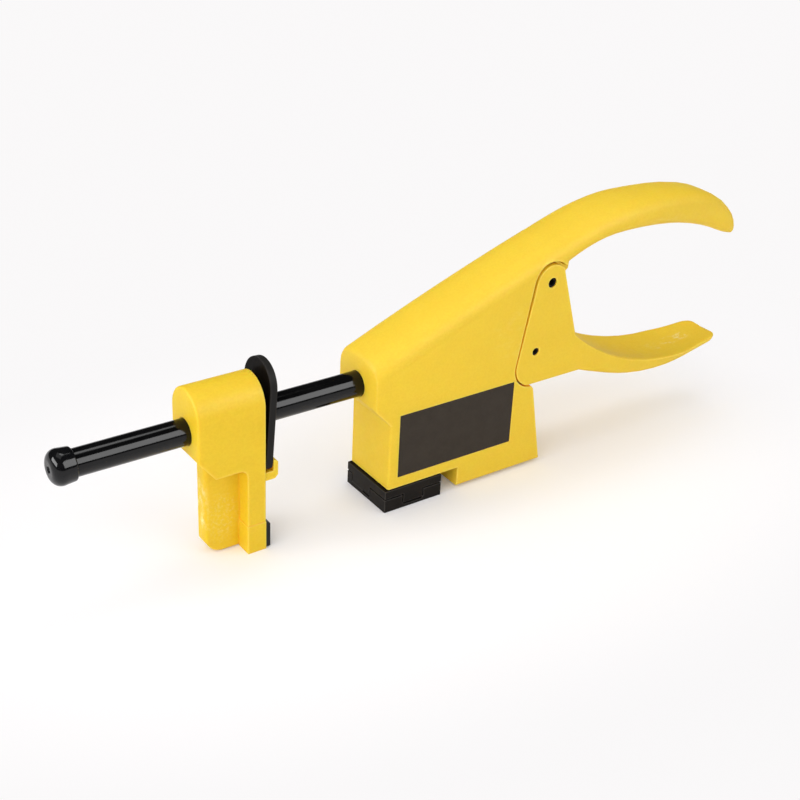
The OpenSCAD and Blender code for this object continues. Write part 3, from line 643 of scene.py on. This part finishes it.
LABEL_FILM = Finish(
    "label_print", Slot.LABEL, (0.034, 0.026, 0.019), (0.041, 0.032, 0.024), (0.38, 0.5),
    cloud=6 * MM, grain=0.3 * MM, depth=0.002 * MM, worn=(0.10, 0.08, 0.06), wear=0.5,
    wear_radius=0.3 * MM, level=0.12)
ROD_BLACK = Finish(
    "rod_black", Slot.ROD, (0.002, 0.002, 0.0022), (0.004, 0.004, 0.0044), (0.08, 0.15),
    lay=Lay.ALONG_ROD, grain=0.35 * MM, depth=0.0008 * MM, worn=(0.12, 0.12, 0.125), wear=0.35,
    wear_radius=0.4 * MM, level=0.3)
CAP_VINYL = Finish(
    "cap_vinyl", Slot.VINYL, (0.0035, 0.0035, 0.004), (0.006, 0.006, 0.0068), (0.07, 0.13),
    cloud=5 * MM, grain=0.9 * MM, depth=0.004 * MM, worn=(0.02, 0.02, 0.022), wear=0.2,
    level=0.32)
PLATE_STEEL = Finish(
    "plate_oxide", Slot.PLATE, (0.0018, 0.0012, 0.001), (0.004, 0.003, 0.0027), (0.3, 0.44),
    lay=Lay.UPRIGHT, grain=0.3 * MM, depth=0.002 * MM, worn=(0.16, 0.15, 0.14), wear=0.6,
    wear_radius=0.5 * MM, worn_metal=True, level=0.03, rim=(0.021, 0.020, 0.019),
    # Painted highlight along the plate's edges.
    painted_edge_highlight=(0.13, 0.125, 0.12), edge_highlight_reach=0.5 * MM, edge_highlight_share=0.6)
HEAD_BLACK = Finish(
    "head_moulding", Slot.HEAD, (0.008, 0.0062, 0.005), (0.013, 0.0105, 0.0085), (0.34, 0.48),
    grain=0.3 * MM, depth=0.003 * MM, worn=(0.085, 0.08, 0.075), wear=0.9,
    # Painted highlight along the head's edges.
    wear_radius=0.3 * MM, level=0.08, painted_edge_highlight=(0.075, 0.07, 0.066), edge_highlight_reach=0.5 * MM,
    edge_highlight_share=0.8)
PAD_RUBBER = Finish(
    "pad_moulding", Slot.PAD, (0.008, 0.008, 0.008), (0.016, 0.016, 0.016), (0.45, 0.65),
    cloud=4 * MM, grain=0.35 * MM, depth=0.012 * MM, worn=(0.09, 0.09, 0.09), wear=0.6,
    # Painted highlight along the pad's edges.
    wear_radius=0.4 * MM, level=0.2, painted_edge_highlight=(0.11, 0.11, 0.11), edge_highlight_reach=0.5 * MM)
PIN_BLACK = Finish(
    "pin_oxide", Slot.PIN, (0.003, 0.003, 0.0033), (0.007, 0.007, 0.0077), (0.3, 0.45),
    lay=Lay.ACROSS_ROD, grain=0.25 * MM, depth=0.002 * MM, worn=(0.14, 0.14, 0.145), wear=0.4,
    wear_radius=0.2 * MM, worn_metal=True, level=0.15)
SPRING_STEEL = Finish(
    "spring_wire", Slot.SPRING, (0.46, 0.46, 0.47), (0.60, 0.60, 0.61), (0.2, 0.36),
    metal=1.0, cloud=3 * MM, grain=0.2 * MM, depth=0.001 * MM, worn=(0.75, 0.75, 0.76),
    wear=0.3, wear_radius=0.2 * MM)
TURNED_BRASS = Finish(
    "turned_brass", Slot.BRASS, (0.62, 0.43, 0.15), (0.74, 0.54, 0.22), (0.2, 0.34),
    metal=1.0, cloud=4 * MM, lay=Lay.ACROSS_ROD, grain=0.15 * MM, depth=0.002 * MM,
    worn=(0.85, 0.68, 0.36), wear=0.3, wear_radius=0.2 * MM)


@dataclass(frozen=True)
class EdgeStyle:
    """How a solid's edges are rounded and shaded, in metres and degrees."""

    width: float
    segments: int = 2
    sharper_than: float = 35.0
    smooth_below: float = 32.0
    clamp: bool = False


EASED_IN_SHADER = EdgeStyle(0.0)


class Softener:
    """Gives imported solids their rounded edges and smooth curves, by modifiers alone."""

    weld = 0.001 * MM
    flat_angle = 0.2

    def __init__(self) -> None:
        """Build the shading group that all solids share."""
        self.shading = self._shading()

    @staticmethod
    def _shading() -> bpy.types.NodeTree:
        """Build a group that shades smooth and keeps edges sharp above an angle.

        Returns:
            The geometry group.
        """
        tree = bpy.data.node_groups.new("angle_shading", "GeometryNodeTree")
        for key, way, kind in (("Geometry", "INPUT", "NodeSocketGeometry"),
                               ("Angle", "INPUT", "NodeSocketFloat"),
                               ("Geometry", "OUTPUT", "NodeSocketGeometry")):
            tree.interface.new_socket(key, in_out=way, socket_type=kind)
        graph = Graph(tree)
        given = graph.add("NodeGroupInput").outputs
        plain = graph.add("GeometryNodeRemoveAttribute", Geometry=given["Geometry"],
                          Name="custom_normal")
        smooth = graph.add("GeometryNodeSetShadeSmooth", {"domain": "FACE"},
                           Geometry=plain.outputs["Geometry"], Shade_Smooth=True)
        bend = graph.add("GeometryNodeInputMeshEdgeAngle")
        steep = graph.add("FunctionNodeCompare",
                          {"data_type": "FLOAT", "operation": "GREATER_THAN"})
        graph.feed(steep.inputs[0], bend.outputs["Unsigned Angle"])
        graph.feed(steep.inputs[1], given["Angle"])
        sharp = graph.add("GeometryNodeSetShadeSmooth", {"domain": "EDGE"},
                          Geometry=smooth.outputs["Geometry"],
                          Selection=steep.outputs["Result"], Shade_Smooth=False)
        graph.add("NodeGroupOutput", Geometry=sharp.outputs["Geometry"])
        return tree

    def soften(self, solid: bpy.types.Object, style: EdgeStyle) -> None:
        """Round and shade one solid.

        Args:
            solid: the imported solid's object.
            style: its edges.
        """
        weld = solid.modifiers.new("weld", "WELD")
        weld.merge_threshold = self.weld
        flat = solid.modifiers.new("flat", "DECIMATE")
        flat.decimate_type = "DISSOLVE"
        flat.angle_limit = math.radians(self.flat_angle)
        if style.width > 0:
            bevel = solid.modifiers.new("edges", "BEVEL")
            bevel.width = style.width
            bevel.segments = style.segments
            bevel.limit_method = "ANGLE"
            bevel.angle_limit = math.radians(style.sharper_than)
            bevel.use_clamp_overlap = style.clamp
        self.shade(solid, style.smooth_below)
        if style.width > 0:
            even = solid.modifiers.new("even", "WEIGHTED_NORMAL")
            even.keep_sharp = True

    def shade(self, piece: bpy.types.Object, below: float) -> None:
        """Add the shading group.

        Args:
            piece: the object.
            below: edges that bend less than this many degrees look smooth.
        """
        shading = piece.modifiers.new("shading", "NODES")
        shading.node_group = self.shading
        angle = self.shading.interface.items_tree["Angle"].identifier
        shading[angle] = math.radians(below)


@dataclass
class Workshop:
    """What every sub-assembly is made with."""

    effects: Effects
    softener: Softener
    smooth_below: float = 40.0
    paints: dict[str, bpy.types.Material] = field(default_factory=dict)

    def paint(self, finish: Finish) -> bpy.types.Material:
        """Give a finish's material, made the first time it is asked for.

        Args:
            finish: the surface.

        Returns:
            Its material.
        """
        if finish.name not in self.paints:
            self.paints[finish.name] = finish.material(self.effects)
        return self.paints[finish.name]

    def dress(self, node: str, finish: Finish, style: EdgeStyle) -> None:
        """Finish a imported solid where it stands.

        Args:
            node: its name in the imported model.
            finish: its surface.
            style: its edges.
        """
        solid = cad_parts[node]
        self.softener.soften(solid, style)
        for place in solid.material_slots:
            place.material = self.paint(finish)
        LOG.info("%s: %s", node, finish.name)

    def piece(self, name: str, bm: bmesh.types.BMesh, finish: Finish, body: Body,
              node: str) -> bpy.types.Object:
        """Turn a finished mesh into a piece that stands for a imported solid.

        Args:
            name: the piece's name.
            bm: its mesh, which is freed.
            finish: its surface.
            body: the body it rides on.
            node: the solid it stands for.

        Returns:
            The new object.
        """
        mesh = bpy.data.meshes.new(name)
        bmesh.ops.recalc_face_normals(bm, faces=bm.faces)
        bm.to_mesh(mesh)
        bm.free()
        made = add_object(name, mesh)
        mesh.materials.append(self.paint(finish))
        self.softener.shade(made, self.smooth_below)
        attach(made, body.value)
        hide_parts(node)
        LOG.info("%s: %s, %d faces", name, finish.name, len(mesh.polygons))
        return made


@dataclass(frozen=True)
class CoilSpring:
    """A round-wire spring along the rod, in millimetres from the head's axis.

    Each end of the wire is turned in line with the rod. end_bend gives the points of that turn,
    as shares of the wire's thickness along the rod and of the lead-in angle round it.
    """

    radius: float
    wire: float
    front: float
    back: float
    turns: int
    first_angle: float
    steps: int = 40
    sides: int = 14
    end_wires: int = 2
    end_bend: tuple[Band, ...] = ((0.0, 0.0), (0.5, 0.0), (1.0, 0.0), (1.27, 0.04), (1.5, 0.15),
                                  (1.7, 0.31), (1.87, 0.5), (1.96, 0.76))

    def shorten(self, piece: bpy.types.Object, joint: str, fixed: float, travel: float) -> None:
        """Give the spring its own copy of its mesh.

        Args:
            piece: the spring's object.
            joint: the joint that moves the piece; not used.
            fixed: where the end that stays put is, in millimetres from the head's axis; not
                used.
            travel: how far the other end is pressed, in millimetres; not used.
        """
        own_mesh(piece)

    def path(self) -> list[Vector]:
        """Work out the wire's centre line.

        Returns:
            Points in metres, in the shared frame.
        """
        lead = math.degrees(self.wire / self.radius)
        length = self.back - self.front
        end_length = self.end_wires * self.wire
        run = length - 2 * end_length
        count = self.turns * self.steps
        end = [(along * self.wire, turn * lead) for along, turn in self.end_bend]
        climb = [(end_length + run * i / count, lead + 360 * self.turns * i / count)
                 for i in range(count + 1)]
        last = 2 * lead + 360 * self.turns
        tail = [(length - along, last - turn) for along, turn in reversed(end)]
        points = []
        for along, turn in end + climb + tail:
            angle = math.radians(self.first_angle + turn)
            points.append(Vector((HEAD_X + (self.front + along) * MM,
                                  self.radius * math.cos(angle) * MM,
                                  ROD_HEIGHT + self.radius * math.sin(angle) * MM)))
        return points

    def mesh(self) -> bmesh.types.BMesh:
        """Sweep the wire along its path.

        Returns:
            The closed wire.
        """
        path = self.path()
        bm = bmesh.new()
        rings = []
        for i, point in enumerate(path):
            along = (path[min(i + 1, len(path) - 1)] - path[max(i - 1, 0)]).normalized()
            out = Vector((0.0, point.y, point.z - ROD_HEIGHT))
            out = (out - along * out.dot(along)).normalized()
            side = along.cross(out)
            ring = []
            for k in range(self.sides):
                angle = 2 * math.pi * k / self.sides
                spoke = out * math.cos(angle) + side * math.sin(angle)
                ring.append(bm.verts.new(point + spoke * (self.wire / 2 * MM)))
            rings.append(ring)
        for a, b in zip(rings, rings[1:]):
            for k in range(self.sides):
                j = (k + 1) % self.sides
                bm.faces.new((a[k], a[j], b[j], b[k]))
        bm.faces.new(list(reversed(rings[0])))
        bm.faces.new(rings[-1])
        return bm


@dataclass
class HousingGroup:
    """The moulded housing and everything fixed in it. The rod's travel is in millimetres."""

    label_edge: float = 0.04 * MM
    small_edge: float = 0.12 * MM
    washer_edge: float = 0.05 * MM
    rod_travel: float = 10.6
    spring: CoilSpring = CoilSpring(radius=5.9875, wire=1.2, front=4.1, back=36.5, turns=9,
                                    first_angle=90.0)

    def build(self, shop: Workshop) -> None:
        """Make the round-wire return spring.

        Args:
            shop: the shared tools.
        """
        wire = shop.piece("return_spring_wire", self.spring.mesh(), SPRING_STEEL, Body.FRAME,
                          "return_spring")
        self.spring.shorten(wire, "lever_swing", self.spring.back, self.rod_travel)

    def dress(self, shop: Workshop) -> None:
        """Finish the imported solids.

        Args:
            shop: the shared tools.
        """
        shop.dress("housing", HOUSING_YELLOW, EASED_IN_SHADER)
        shop.dress("side_label", LABEL_FILM, EdgeStyle(self.label_edge))
        fine = EdgeStyle(self.small_edge)
        shop.dress("rod_guide_bush", TURNED_BRASS, fine)
        shop.dress("head_insert", TURNED_BRASS, fine)
        shop.dress("head_screw", SPRING_STEEL, fine)
        shop.dress("head_spring_washer", SPRING_STEEL, EdgeStyle(self.washer_edge))


@dataclass
class LeverGroup:
    """The squeeze lever with its two rolled pins."""

    pin_edge: float = 0.15 * MM

    def dress(self, shop: Workshop) -> None:
        """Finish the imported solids.

        Args:
            shop: the shared tools.
        """
        shop.dress("squeeze_lever", LEVER_YELLOW, EASED_IN_SHADER)
        for pin in ("pivot_pin", "drive_pin"):
            shop.dress(pin, PIN_BLACK, EdgeStyle(self.pin_edge))


@dataclass
class RodGroup:
    """The clamp rod, its cap and the stops of the return spring."""

    rod_edge: EdgeStyle = EdgeStyle(0.2 * MM)
    cap_edge: EdgeStyle = EdgeStyle(0.7 * MM, segments=3, sharper_than=50.0)
    ring_edge: EdgeStyle = EdgeStyle(0.1 * MM)

    def dress(self, shop: Workshop) -> None:
        """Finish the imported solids.

        Args:
            shop: the shared tools.
        """
        shop.dress("clamp_rod", ROD_BLACK, self.rod_edge)
        shop.dress("rod_end_cap", CAP_VINYL, self.cap_edge)
        shop.dress("retaining_ring", PIN_BLACK, self.ring_edge)
        shop.dress("spring_washer", SPRING_STEEL, self.ring_edge)


@dataclass
class JawGroup:
    """The sliding jaw with its pad, the lock plate and the plate's spring.

    The plate's travel is in millimetres.
    """

    plate_edge: EdgeStyle = EdgeStyle(0.4 * MM, segments=3)
    pad_edge: EdgeStyle = EdgeStyle(0.3 * MM, sharper_than=60.0, clamp=True)
    plate_travel: float = 1.4
    spring: CoilSpring = CoilSpring(radius=5.8125, wire=1.0, front=-70.0, back=-59.352, turns=4,
                                    first_angle=70.285)

    def build(self, shop: Workshop) -> None:
        """Make the round-wire spring between the jaw and the plate.

        Args:
            shop: the shared tools.
        """
        wire = shop.piece("lock_spring_wire", self.spring.mesh(), SPRING_STEEL, Body.JAW,
                          "lock_spring")
        self.spring.shorten(wire, "plate_tilt", self.spring.front, self.plate_travel)

    def dress(self, shop: Workshop) -> None:
        """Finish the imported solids.

        Args:
            shop: the shared tools.
        """
        shop.dress("clamp_jaw", JAW_YELLOW, EASED_IN_SHADER)
        shop.dress("jaw_pad", PAD_RUBBER, self.pad_edge)
        shop.dress("lock_plate", PLATE_STEEL, self.plate_edge)


@dataclass
class HeadGroup:
    """The two parts of the square driver head."""

    edge: EdgeStyle = EdgeStyle(0.18 * MM)

    def dress(self, shop: Workshop) -> None:
        """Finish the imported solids.

        Args:
            shop: the shared tools.
        """
        for part in ("head_block", "head_plate"):
            shop.dress(part, HEAD_BLACK, self.edge)


@dataclass(frozen=True)
class Softbox:
    """A rectangular studio lamp, in metres and watts."""

    name: str
    towards: Point
    width: float
    height: float
    power: float
    distance: float = 1.3
    colour: Colour = WHITE
    seen: Seen = Seen.ALL


@dataclass
class Studio:
    """The pale floor, the soft light and the camera, in metres, degrees and pixels."""

    aim: Point = (HEAD_X + 1.36 * MM, 0.0, 38.73 * MM)
    azimuth: float = 35.84
    elevation: float = 28.8
    roll: float = 2.88
    distance: float = 0.53199
    nearest: float = 0.01
    focal_pixels: float = 1451.2
    shift_pixels: Band = (-0.94, -2.31)
    floor_radius: float = 6.0
    floor_sides: int = 96
    floor_drop: float = 0.05 * MM
    floor_colour: Colour = (0.918, 0.91, 0.93)
    shadow_shape: Point = (0.55, 1.0, 0.0)
    shadow_band: Band = (0.035, 0.15)
    glow: float = 0.09
    ambient: float = 0.5
    sky: Colour = (0.955, 0.942, 0.945)
    ceiling: Colour = (0.02, 0.02, 0.022)
    ceiling_band: Band = (0.0, 0.1)
    boxes: tuple[Softbox, ...] = (
        Softbox("key_left", (-0.85, -0.22, 0.55), 1.8, 1.6, 15.6, colour=(1.0, 0.985, 0.96),
                seen=Seen.MATT),
        Softbox("card_left", (-0.87, 0.08, 0.42), 1.1, 0.5, 16.0, seen=Seen.SHINE),
        Softbox("overhead", (-0.1, 0.15, 0.98), 0.9, 0.9, 2.3),
        Softbox("fill_right", (0.4, -0.72, 0.56), 1.0, 0.9, 2.85),
        Softbox("card_right", (0.4, -0.72, 0.56), 1.0, 0.9, 13.0, distance=1.32,
                seen=Seen.SHINE),
        Softbox("strip_back", (0.22, 0.22, 0.90), 0.4, 0.3, 1.3, distance=1.4))

    def build(self) -> None:
        """Set up the floor, the lamps, the world and the camera."""
        self._floor()
        for box in self.boxes:
            self._lamp(box)
        self._world()
        self._camera()
        bpy.context.scene.view_settings.view_transform = "Standard"

    def _floor(self) -> None:
        """Lay a wide round floor under the rest face."""
        bm = bmesh.new()
        bmesh.ops.create_circle(bm, cap_ends=True, segments=self.floor_sides,
                                radius=self.floor_radius)
        mesh = bpy.data.meshes.new("floor")
        bm.to_mesh(mesh)
        bm.free()
        floor = add_object("floor", mesh)
        floor.location.z = -self.floor_drop
        mesh.materials.append(self._floor_paint())

    def _floor_paint(self) -> bpy.types.Material:
        """Make the floor's matt white, which turns to plain white away from the object.

        Returns:
            The material.
        """
        made = bpy.data.materials.new("floor_white")
        graph = Graph.fresh(made)
        place = graph.add("ShaderNodeTexCoord").outputs["Object"]
        away = graph.vector("LENGTH", graph.vector("MULTIPLY", place, self.shadow_shape))
        far = graph.ramp(away, *self.shadow_band)
        seen = self._seen_rays(graph)
        matt = graph.add("ShaderNodeBsdfDiffuse", Color=rgba(self.floor_colour))
        glow = graph.add("ShaderNodeEmission", Color=rgba(self.sky),
                         Strength=graph.math("MULTIPLY", seen, self.glow))
        near = graph.add("ShaderNodeAddShader")
        graph.feed(near.inputs[0], matt.outputs[0])
        graph.feed(near.inputs[1], glow.outputs[0])
        white = graph.add("ShaderNodeEmission", Color=rgba(self.sky), Strength=1.0)
        graph.add("ShaderNodeOutputMaterial",
                  Surface=graph.mix(graph.math("MULTIPLY", seen, far), near, white))
        return made

    @staticmethod
    def _seen_rays(graph: Graph) -> bpy.types.NodeSocket:
        """Find the rays that show a surface itself, directly, in gloss or through glass.

        Args:
            graph: the floor's or the world's graph.

        Returns:
            A mask that is 1 for these rays.
        """
        path = graph.add("ShaderNodeLightPath").outputs
        both = graph.math("ADD", path["Is Camera Ray"], path["Is Glossy Ray"], clamp=True)
        return graph.math("ADD", both, path["Is Transmission Ray"], clamp=True)

    def _lamp(self, box: Softbox) -> None:
        """Hang one softbox, turned to the object.

        Args:
            box: the lamp.
        """
        data = bpy.data.lights.new(box.name, "AREA")
        data.shape = "RECTANGLE"
        data.size = box.width
        data.size_y = box.height
        data.energy = box.power
        data.color = box.colour
        lamp = add_object(box.name, data)
        way = Vector(box.towards).normalized()
        lamp.location = Vector(self.aim) + way * box.distance
        lamp.rotation_mode = "QUATERNION"
        lamp.rotation_quaternion = (-way).to_track_quat("-Z", "Y")
        lamp.visible_diffuse, lamp.visible_glossy = box.seen.value

    def _world(self) -> None:
        """Light the scene evenly, with a white surround that is dark overhead in reflections."""
        world = bpy.data.worlds.new("studio")
        bpy.context.scene.world = world
        graph = Graph.fresh(world)
        way = graph.add("ShaderNodeSeparateXYZ",
                        Vector=graph.add("ShaderNodeTexCoord").outputs["Generated"])
        height = graph.ramp(way.outputs["Z"], *self.ceiling_band)
        gloss = graph.add("ShaderNodeLightPath").outputs["Is Glossy Ray"]
        dark = graph.math("MULTIPLY", height, gloss)
        around = graph.add("ShaderNodeBackground", Strength=1.0,
                           Color=graph.blend(dark, self.sky, self.ceiling))
        light = graph.add("ShaderNodeBackground", Strength=self.ambient, Color=rgba(WHITE))
        graph.add("ShaderNodeOutputWorld",
                  Surface=graph.mix(self._seen_rays(graph), light, around))

    def _camera(self) -> None:
        """Set the camera at the photograph's viewing angle."""
        turn, rise, roll = (math.radians(a) for a in (self.azimuth, self.elevation, self.roll))
        back = Vector((-math.sin(turn) * math.cos(rise), -math.cos(turn) * math.cos(rise),
                       math.sin(rise)))
        level = Vector((0.0, 0.0, 1.0)).cross(back).normalized()
        upright = back.cross(level)
        right = level * math.cos(roll) + upright * math.sin(roll)
        above = back.cross(right)
        data = bpy.data.cameras.new("camera")
        data.sensor_width = SENSOR_WIDTH
        data.lens = self.focal_pixels * SENSOR_WIDTH / PHOTO_SIDE
        data.shift_x, data.shift_y = (pixels / PHOTO_SIDE for pixels in self.shift_pixels)
        data.clip_start = self.nearest
        camera = add_object("camera", data)
        rotation = Matrix((right, above, back)).transposed()
        camera.matrix_world = Matrix.LocRotScale(Vector(self.aim) + back * self.distance,
                                                 rotation, None)
        bpy.context.scene.camera = camera


def main() -> None:
    """Build the studio and dress each sub-assembly in order."""
    logging.basicConfig(level=logging.INFO, format="%(name)s %(message)s")
    Studio().build()
    shop = Workshop(Effects(), Softener())
    housing, jaw = HousingGroup(), JawGroup()
    housing.build(shop)
    housing.dress(shop)
    LeverGroup().dress(shop)
    RodGroup().dress(shop)
    jaw.build(shop)
    jaw.dress(shop)
    HeadGroup().dress(shop)


if __name__ == "__main__":
    main()
